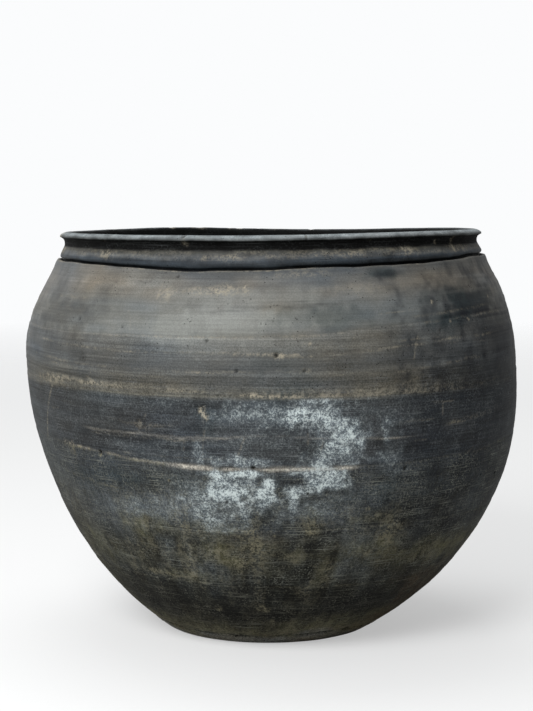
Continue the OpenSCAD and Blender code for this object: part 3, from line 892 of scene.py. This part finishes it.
def rim_paint(turn, path, radius, facing_up, colour, dust, bloom):
    """The rim's tones by the distance along its line, which paint its highlights and the shade under its
    lip and in its seam, with dust where it faces up, a worn crest, earth stains and bare chips."""
    rim = path > rim_path
    along_rim = path - rim_path
    wobble = along_rim + 0.9 * mottle(turn, path, 16, 9, 66, 3)
    grain = 1 + 0.34 * mottle(turn, path, 60, 2.0, 67, 3) + 0.30 * mottle(turn, path, 12, 8, 68, 3)
    into_rim = ramp(along_rim, -4, -0.5)[..., None]
    # The rim's tones paint its highlights and its shade.
    colour = colour * (1 - into_rim) + tone_at(RIM_TONES_WITH_PAINTED_LIGHT, wobble) * grain[..., None] * into_rim
    settled = ramp(facing_up, 0.10, 0.45) * ramp(along_rim, slope - 2, slope + 1)
    settled = settled * ramp(along_rim, groove, groove - 3) * (0.5 + 0.7 * mottle(turn, path, 26, 6, 69, 3))
    dust = np.where(rim, 0.22 * settled, dust)
    # A pale line on the ledge under the collar's seam: partly dust, and partly a painted highlight where the
    # ledge faces up.
    line_under = bell(along_rim + 3.4, 1.2) * (0.6 + 0.5 * mottle(turn, path, 26, 9, 70, 2))
    dust = dust + (0.35 + 0.6 * ramp(np.abs(away(turn, -38)), 56, 40)) * line_under
    worn = ramp(along_rim, crest - 6, crest - 2) * ramp(along_rim, crest + 4, crest)
    bloom = np.where(rim, 0.20 * worn * (0.7 + 0.5 * mottle(turn, path, 18, 5, 73, 3)), bloom)
    ragged = 0.5 * mottle(turn, path, 9, 5, 95, 3)
    for *oval, strength in RIM_STAINS:
        dust = dust + strength * ramp(rim_oval(turn, radius, along_rim, *oval) + ragged, 1.4, 0.2)
    for *oval, _ in CHIPS:
        bare = ramp(rim_oval(turn, radius, along_rim, *oval), 1.2, 0.6)
        colour = colour * (1 - 0.6 * bare)[..., None]
        bloom = bloom * (1 - bare)
        dust = dust * (1 - bare) + (0.5 if oval[0] > 40 else 0.1) * bare
    return colour, dust, bloom


# %% Everything the outside's shader reads
POLISH = [[0, 0.0], [60, 0.15], [150, 0.30], [200, 0.45], [256, 0.45], [262, 0.52], [285, 0.78],
          [312, 0.85], [372, 0.8]]


def paint(turn, path, level, height, radius, gaps, facing_up):
    """Colour, dust, bloom, polish and the pit mask, by point. Through the shader, the pit mask darkens
    pits, blister rings, the underside of the lip and the lip's inner face as painted shade. Pits and
    grit push dust and bloom aside.
    """
    colour, dust, bloom = wall_paint(turn, path, level, height, radius, gaps)
    colour, dust, bloom = rim_paint(turn, path, radius, facing_up, colour, dust, bloom)
    rim = path > rim_path
    along_rim = path - rim_path
    pits = [[at, up, 0.8 * size, min(1, 0.15 + 0.42 * depth)] for at, up, size, depth in PITS]
    holes = spots(turn, height, radius, pits, dish) * ~rim
    ringed = spots(turn, height, radius, [[*mark, 0.3] for mark in BLISTERS], lambda far: bell(far - 1, 0.3))
    grit = spots(turn, height, radius, [[*mark, 1.0] for mark in GRITS], dish) * ~rim
    # Blister rings are darkened as painted shade in their grooves.
    colour = colour * (1 - 0.25 * ringed)[..., None]
    dust = np.maximum(dust * (1 - holes), 0.8 * grit)
    bloom = bloom * (1 - holes) * (1 - 0.8 * grit)
    # The lip's inner face and its underside go into the pit mask as painted shade.
    inner_lip = ramp(along_rim, crest + 5, crest + 9)
    under_lip = ramp(along_rim, groove - 2, groove) * ramp(along_rim, lip_edge + 0.5, lip_edge - 1)
    polish = np.where(rim, 0.75 - 0.75 * under_lip, np.interp(height, *np.transpose(POLISH)))
    polish = polish + 0.12 * mottle(turn, level, 120, 20, 74, 2)
    under = 1 - ramp(path, 92, 108)
    dust = dust * (1 - under) + under * 0.30 * ramp(mottle(turn, level, 30, 8, 75, 3), 0.0, 1.0)
    pit_and_shade = np.maximum(holes, ringed) + 0.6 * inner_lip + 0.5 * under_lip
    masks = {"dust": dust, "bloom": bloom, "polish": polish, "pit_and_shade": pit_and_shade}
    layers = {key: np.clip(mask, 0, 1) for key, mask in masks.items()}
    return {"clay_colour": np.clip(colour, 0.001, 1), **layers}


def inner_paint(turn, path, height):
    """The hollow is bare smoked clay, near-black and matt, with some earth left on its floor. Its pit
    mask darkens the upper inner wall as painted shade.
    """
    tone = np.interp(height, [14, 120, 330, 372, 400], [0.016, 0.012, 0.010, 0.009, 0.008])
    tone = tone * (1 + 0.3 * mottle(turn, path, 120, 12, 91, 3))
    dust = 0.25 * ramp(height, 60, 16) * (0.6 + 0.6 * mottle(turn, path, 24, 14, 92, 3))
    return {"clay_colour": tone[..., None] * np.array([1.0, 1.02, 1.0]), "dust": np.clip(dust, 0, 1),
            "bloom": 0 * dust, "polish": 0 * dust + 0.1, "pit_and_shade": 0.6 * ramp(height, 330, 372)}


# %% [markdown]
# ## From grids to closed rings
#
# A ring of the wall is one loop in the section, carried round the axis: up the outside, in along
# the upper joint, down the inside and out again along the lower joint. Neighbouring rings share
# their joint line point for point, so no gap can show. Rows lie closer together near the joints,
# where the relief is finest.

# %% Mesh from a grid
columns = 1200
turns = np.arange(columns) * 360 / columns - 180
LAYERS = {"clay_colour": "FLOAT_VECTOR", "dust": "FLOAT", "bloom": "FLOAT", "polish": "FLOAT", "pit_and_shade": "FLOAT"}


def grid_mesh(name, points, layers, corners, poles=()):
    """Joins a grid of points, rows by columns, in millimetres, to a closed shell. Rows close into a
    loop, or end in two pole points. Corners are rows whose edge stays sharp."""
    rows, across = points.shape[:2]
    index = np.arange(rows * across).reshape(rows, across)
    last = rows - 1 if len(poles) else rows
    low, high = index[:last], np.roll(index, -1, axis=0)[:last]
    quads = np.stack([low, np.roll(low, -1, axis=1), np.roll(high, -1, axis=1), high], -1).reshape(-1, 4)
    corner_list, starts = [quads.ravel()], [np.arange(len(quads)) * 4]
    co = points.reshape(-1, 3)
    layers = {key: value.reshape(rows * across, -1) for key, value in layers.items()}
    if len(poles):
        first, end = index[0], index[-1]
        fans = np.concatenate([
            np.stack([np.full(across, rows * across), np.roll(first, -1), first], -1),
            np.stack([end, np.roll(end, -1), np.full(across, rows * across + 1)], -1)])
        corner_list.append(fans.ravel())
        starts.append(len(quads) * 4 + np.arange(len(fans)) * 3)
        co = np.vstack([co, poles])
        layers = {key: np.vstack([value, value[:across].mean(0), value[-across:].mean(0)])
                  for key, value in layers.items()}
    corner_list, starts = np.concatenate(corner_list), np.concatenate(starts)
    mesh = bpy.data.meshes.new(name)
    mesh.vertices.add(len(co))
    mesh.vertices.foreach_set("co", (co * MM).astype(np.float32).ravel())
    mesh.loops.add(len(corner_list))
    mesh.loops.foreach_set("vertex_index", corner_list.astype(np.int32))
    mesh.polygons.add(len(starts))
    mesh.polygons.foreach_set("loop_start", starts.astype(np.int32))
    mesh.update(calc_edges=True)
    mesh.shade_smooth()
    ends = np.empty(len(mesh.edges) * 2, np.int32)
    mesh.edges.foreach_get("vertices", ends)
    edge_rows = np.where(ends < rows * across, ends // across, -1).reshape(-1, 2)
    sharp = (edge_rows[:, 0] == edge_rows[:, 1]) & np.isin(edge_rows[:, 0], corners)
    mesh.attributes.new("sharp_edge", "BOOLEAN", "EDGE").data.foreach_set("value", sharp)
    for key, kind in LAYERS.items():
        layer = mesh.attributes.new(key, kind, "POINT")
        layer.data.foreach_set("vector" if kind == "FLOAT_VECTOR" else "value",
                               layers[key].astype(np.float32).ravel())
    piece = bpy.data.objects.new(name, mesh)
    bpy.context.scene.collection.objects.link(piece)
    triangles = int((np.diff(np.append(starts, len(corner_list))) - 2).sum())
    print(name, "has", triangles, "triangles")
    return piece


def spaced(length, step):
    """Shares from 0 to 1: seven tenths of an even step, three tenths of a cosine that crowds the ends."""
    t = np.linspace(0, 1, max(3, round(length / step)) + 1)
    return 0.7 * t + 0.3 * (0.5 - 0.5 * np.cos(np.pi * t))


# %% Joint lines on both faces of the wall
inner_wall = inside.points[:, 0] > floor_corner
outer_lines = [np.zeros(columns)] + [joint_path(k, turns) for k in range(8)] + [np.full(columns, outside.end)]
even_lines = [line.mean() for line in outer_lines]
inner_lines = [np.zeros(columns)]
for k in range(8):
    outer_height = outside.at(outer_lines[k + 1])[1]
    height = joint_inside[k] + (outer_height - outer_height.mean() if 0 < k < 6 else 0) + np.zeros(columns)
    inner_lines.append(np.interp(height, inside.points[inner_wall, 1], inside.walked[inner_wall]))
print("rings, mm up the wall:", [round(b - a) for a, b in zip(even_lines[:-1], even_lines[1:])])


def ring(name, k):
    """One ring of the wall as a closed shell, between joint lines k and k + 1."""
    low, high = outer_lines[k], outer_lines[k + 1]
    row_step = 1.32 if k else 1.75
    share = spaced(even_lines[k + 1] - even_lines[k], row_step)[:, None]
    if k == 0:
        share = share[1:]
    turn = np.broadcast_to(turns, (len(share), columns))
    path = low + share * (high - low)
    level = even_lines[k] + share * (even_lines[k + 1] - even_lines[k]) + 0 * path
    radius, height = outside.at(path)
    square_r, square_z = outside.square(path)
    gaps = [[j, path - outer_lines[j + 1]] for j in (k - 1, k) if 0 <= j < 8]
    relief = wall_relief(turn, path, level, height, radius, gaps)
    layers = paint(turn, path, level, height, radius, gaps, square_z)
    # The joint line itself keeps its height off the ground, so that the foot stays flat.
    flat = stand(radius + relief * square_r, np.maximum(height + relief * square_z, 0), turn)
    flat[..., 2] = np.maximum(flat[..., 2], 0)
    blocks, block_layers, corners = [flat], [layers], [len(share) - 1]
    if k < 8:
        inner_low, inner_high = inner_lines[k], inner_lines[k + 1]
        in_share = spaced(float((inner_high - inner_low).mean()), 4.5)[:, None]
        if k == 0:
            in_share = in_share[1:]
        in_path = (inner_low + in_share * (inner_high - inner_low))[::-1]
        in_turn = np.broadcast_to(turns, in_path.shape)
        in_radius, in_height = inside.at(in_path)
        in_square_r, in_square_z = inside.square(in_path)
        ridge = -inner_relief(in_turn, in_path, in_height, in_radius)
        wall = stand(in_radius + ridge * in_square_r, in_height + ridge * in_square_z, in_turn)
        wall_layers = inner_paint(in_turn, in_path, in_height)
    else:
        wall, wall_layers = flat[-1:], {key: value[-1:] for key, value in layers.items()}
    joint_steps = np.linspace(0, 1, 5)[1:-1, None, None]
    if k < 8:
        top = flat[-1] * (1 - joint_steps) + wall[0] * joint_steps
        blocks += [top, wall]
        corners.append(sum(len(block) for block in blocks[:-1]))
        block_layers.append({key: np.repeat(value[-1:], 3, axis=0) for key, value in layers.items()})
        block_layers.append(wall_layers)
    if k > 0:
        bottom = wall[-1] * (1 - joint_steps) + flat[0] * joint_steps
        corners += [sum(len(block) for block in blocks) - 1, 0]
        blocks.append(bottom)
        block_layers.append({key: np.repeat(value[:1], 3, axis=0) for key, value in layers.items()})
    points = np.concatenate(blocks)
    joined = {key: np.concatenate([layer[key] for layer in block_layers]) for key in LAYERS}
    poles = ()
    if k == 0:
        middle = stand(np.zeros(2), np.array([0.0, floor_thick]), np.zeros(2))
        middle[0, 2] = flat[0, :, 2].mean()
        middle[1, 2] = wall[-1, :, 2].mean()
        poles = middle
    return grid_mesh(name, points, joined, corners, poles)


pieces = {}
for k, node in enumerate(RINGS):
    pieces[node] = ring("clay_" + node, k)

# %% [markdown]
# The coil pressed into the corner over the floor joint keeps the thumb marks of the hand that
# pushed it home. It is a closed ring: a round top, and a base sunk a millimetre into the clay.


# %% Coil in the floor's corner
def corner_coil(name):
    """A tube round the axis, whose section is an arc above the clay and a bent line under it. Thumb
    marks press its radius in by the square of a sine of the turn."""
    node_low, node_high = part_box("floor_seam_coil")
    coil_r = round((node_high.z - node_low.z) / MM, 1)
    centre_r = floor_corner + 1
    across = 480
    angle = np.radians(np.linspace(34, 184, 17))[:, None]
    turn = np.broadcast_to(np.arange(across) * 360 / across - 180, (len(angle), across))
    thumbs = 0.9 * np.sin(np.radians(turn * 12) + 1.5 * mottle(turn, 0, 60, 50, 101)) ** 2
    size = coil_r - thumbs * np.sin(angle) ** 2 + 0.25 * mottle(turn, np.degrees(angle) * 0.3, 20, 9, 102, 2)
    top_r, top_z = centre_r + size * np.cos(angle), floor_thick + size * np.sin(angle)
    under = np.array([[-8, -1.2], [-4, -1.2], [0, -1.2], [3.5, -0.6], [6.2, 2.0]])
    under_r = np.repeat(centre_r + under[:, :1], across, axis=1)
    under_z = np.repeat(floor_thick + under[:, 1:], across, axis=1)
    radius, height = np.vstack([top_r, under_r]), np.vstack([top_z, under_z])
    turn = np.broadcast_to(turn[:1], radius.shape)
    layers = inner_paint(turn, height + 60, height)
    return grid_mesh(name, stand(radius, height, turn), layers, [0, len(angle) - 1])


pieces["floor_seam_coil"] = corner_coil("clay_floor_seam_coil")

# %% [markdown]
# ## Fired clay as a material
#
# Smoke-fired clay is a dull dielectric: black body, weak broad mirror, and a thin skin that a
# stone has closed where it was burnished. One builder makes the shader from a few sizes, and each
# slot of the record gets its own clay with its own burnish, grain and dust. Patterns are sized in
# millimetres: wiping rings about 1.6 mm apart, grit of about 1.8 mm, mineral grains of about 1.7 mm.


# %% The shader of one clay
# Each noise: its cells to a metre along x, y and z, its detail and its roughness. Rings and hairs
# are long round the pot and thin in height, and runs are long in height.
NOISES = {"rings": [(9, 9, 620), 3.0, 0.5], "hairs": [(26, 26, 1500), 2.0, 0.5],
          "runs": [(280, 280, 42), 4.0, 0.65], "grain": [(780, 780, 780), 3.0, 0.5],
          "grit": [(560, 560, 560), 3.0, 0.7], "patches": [(190, 190, 190), 4.0, 0.6],
          "scattered": [(60, 60, 60), 2.0, 0.5], "crust": [(580, 580, 580), 4.0, 0.85]}


def fired_clay(name, dull, burnished, shine, ring_tone, grain_tone, run_tone, ring_depth, grain_depth,
               scuffing, scuff_hex, dust_hex):
    """A Principled shader: body colour times ring, run and grain noise, with scuffs, dust and bloom
    laid over it. Roughness goes from its dull to its burnished value with the polish mask."""
    material = bpy.data.materials.new(name)
    material.use_nodes = True
    tree = material.node_tree
    tree.nodes.clear()
    place = add(tree, "TexCoord", out="Object")
    colour = add(tree, "Attribute", out="Color", attribute_name="clay_colour")
    dust, bloom, polish, pit_and_shade = [add(tree, "Attribute", out="Fac", attribute_name=layer)
                                for layer in ("dust", "bloom", "polish", "pit_and_shade")]
    noise = {}
    for layer, (cells, detail, roughness) in NOISES.items():
        stretched = add(tree, "VectorMath", [place, cells], operation="MULTIPLY")
        noise[layer] = add(tree, "TexNoise", {"Vector": stretched, "Scale": 1.0, "Detail": detail,
                                              "Roughness": roughness})

    # Body tone: each noise becomes a factor round 1, and a burnished skin shows less of them.
    factor = 1.0
    shades = [["rings", 0.3, 0.7, ring_tone, 1.1], ["runs", 0.32, 0.68, run_tone, 1.2],
              ["grain", 0.36, 0.64, grain_tone, 1.15]]
    for layer, low, high, depth, lift in shades:
        share = add(tree, "MapRange", [noise[layer], low, high, 1 - depth, 1 + lift * depth])
        factor = add(tree, "Math", [factor, share], operation="MULTIPLY")
    calm = add(tree, "MapRange", [polish, 0.5, 0.85, 1.0, 0.45])
    factor = add(tree, "Mix", {0: calm, 2: 1.0, 3: factor}, data_type="FLOAT")
    body = add(tree, "VectorMath", {0: colour, "Scale": factor}, operation="SCALE")

    # Scuffs: pale specks where fine noise is high, and hairs where the thin rings are, both in patches.
    speck = add(tree, "MapRange", [noise["grit"], 0.52, 0.74])
    hair = add(tree, "MapRange", [noise["hairs"], 0.56, 0.74, 0.0, 0.8])
    patchy = add(tree, "MapRange", [noise["scattered"], 0.36, 0.64, 0.35 * scuffing, 1.5 * scuffing])
    scuff = add(tree, "Math", [speck, hair], operation="MAXIMUM")
    for share in (patchy, calm):
        scuff = add(tree, "Math", [scuff, share], operation="MULTIPLY")

    # Dust covers by its mask times a frayed noise, so that it is never a flat coat.
    frayed = add(tree, "Math", [noise["patches"], noise["grit"]], operation="ADD")
    frayed = add(tree, "MapRange", [frayed, 0.90, 1.15, 0.06, 1.5])
    dust_cover = add(tree, "Math", [frayed, dust], operation="MULTIPLY", use_clamp=True)

    # Bloom is a crust of mineral grains: its mask times a steep noise, over a thin even film.
    crust = add(tree, "Math", [noise["patches"], 0.55], operation="MULTIPLY")
    for height, share in ((noise["crust"], 1.45), (bloom, 0.22)):
        crust = add(tree, "Math", [height, share, crust], operation="MULTIPLY_ADD")
    crust = add(tree, "MapRange", [crust, 1.01, 1.22, 0.23, 1.0])
    spread = add(tree, "Math", [bloom, 1.7], operation="MULTIPLY", use_clamp=True)
    veil = add(tree, "Math", [crust, spread], operation="MULTIPLY", use_clamp=True)
    hexes = (scuff_hex, dust_hex, film_hex, bloom_hex)
    scuff_tone, dust_tone, film, grains = [(*linear(tone), 1) for tone in hexes]
    mineral = add(tree, "Mix", {0: crust, 6: film, 7: grains}, out=2, data_type="RGBA")
    for cover, top in ((scuff, scuff_tone), (dust_cover, dust_tone), (veil, mineral)):
        body = add(tree, "Mix", {0: cover, 6: body, 7: top}, out=2, data_type="RGBA")

    # Pinholes and pits are darkened as painted shade in their hollows, and so is all that the pit mask
    # covers, such as the underside of the lip and the inside of the mouth.
    specks = add(tree, "TexVoronoi", {"Vector": place, "Scale": 330.0}, out="Distance")
    pinhole = add(tree, "MapRange", [specks, 0.10, 0.22, 1.0, 0.0])
    some = add(tree, "MapRange", [noise["scattered"], 0.56, 0.62])
    hole = add(tree, "Math", [pinhole, some], operation="MULTIPLY")
    hole = add(tree, "Math", [hole, pit_and_shade], operation="MAXIMUM")
    hole_tone = add(tree, "MapRange", [hole, 0.0, 1.0, 1.0, 0.12])
    body = add(tree, "VectorMath", {0: body, "Scale": hole_tone}, operation="SCALE")

    rough = add(tree, "MapRange", [polish, 0.0, 1.0, dull, burnished])
    rough = add(tree, "Math", [noise["grain"], 0.14, rough], operation="MULTIPLY_ADD")
    covered = add(tree, "Math", [dust_cover, veil], operation="MAXIMUM")
    covered = add(tree, "Math", [covered, hole], operation="MAXIMUM")
    rough = add(tree, "Mix", {0: covered, 2: rough, 3: 0.92}, data_type="FLOAT")

    # Relief finer than the grid: rings and hairs, then grain, then pinholes, with depths in mm.
    normal = {}
    for relief, depth in ((noise["rings"], ring_depth), (noise["hairs"], 0.4 * ring_depth),
                          (noise["grain"], grain_depth), (hole_tone, 0.25)):
        normal = {"Normal": add(tree, "Bump", {"Height": relief, "Distance": depth * MM, **normal})}
    shader = add(tree, "BsdfPrincipled", {"Base Color": body, "Roughness": rough, "IOR": 1.5,
                                          "Specular IOR Level": shine, **normal})
    add(tree, "OutputMaterial", [shader])
    return material


# %% Six clays, one for each slot of the record
tan_dust = "#928b7b"
earth = "#706c5b"
bloom_hex = "#c2cccc"
film_hex = "#7f909f"
# Each row: name, roughness dull and burnished, shine, tone of rings, grain and runs, depth in mm of
# rings and grain, amount and colour of scuffs, colour of dust.
CLAYS = {
    # Scraped and never burnished: broad and dull, with grit standing out of it.
    "sooty_foot_clay": ["scraped", 0.68, 0.55, 0.13, 0.14, 0.62, 0.46, 0.10, 0.16, 0.62, "#74746a", earth],
    # Wiped, then worn by handling: a low satin with the rings showing through.
    "scuffed_black_clay": ["scuffed", 0.64, 0.48, 0.14, 0.18, 0.55, 0.42, 0.12, 0.13, 0.74, "#7a7c74", earth],
    # Wiped with wet leather while turning: fine rings catch the light in long thin lines.
    "blue_black_clay": ["wiped", 0.58, 0.44, 0.13, 0.40, 0.42, 0.06, 0.14, 0.09, 0.42, "#74787a", tan_dust],
    # Rubbed with a stone till the skin closed: a soft sheen with the rings pressed almost flat. Its grey
    # is partly the painted sheen in the shoulder's colour.
    "burnished_shoulder_clay": ["stone_burnished", 0.54, 0.44, 0.16, 0.22, 0.24, 0.04, 0.06, 0.04, 0.13,
                                "#8a8c89", tan_dust],
    # Burnished, then worn by hands on its crest, whose pale tone is partly a painted highlight: smoothest of
    # all.
    "polished_lip_clay": ["worn_lip", 0.60, 0.46, 0.08, 0.16, 0.25, 0.04, 0.05, 0.05, 0.18,
                          "#84898a", tan_dust],
    # Left as the fingers wiped it inside: matt and dark.
    "unburnished_inner_clay": ["finger_wiped", 0.68, 0.52, 0.15, 0.2, 0.4, 0.1, 0.10, 0.12, 0.15,
                               "#4a4a45", earth],
}
clays = {slot: fired_clay("smoke_fired_clay_" + name, *looks) for slot, (name, *looks) in CLAYS.items()}
slot_of = {part["node"]: part["material_slot"] for part in frame["record"]["subparts"]}
for node, piece in pieces.items():
    piece.data.materials.append(clays[slot_of[node]])
    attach(piece, "root")
    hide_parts(node)
print(len(pieces), "clay pieces, each in place of its CAD node")
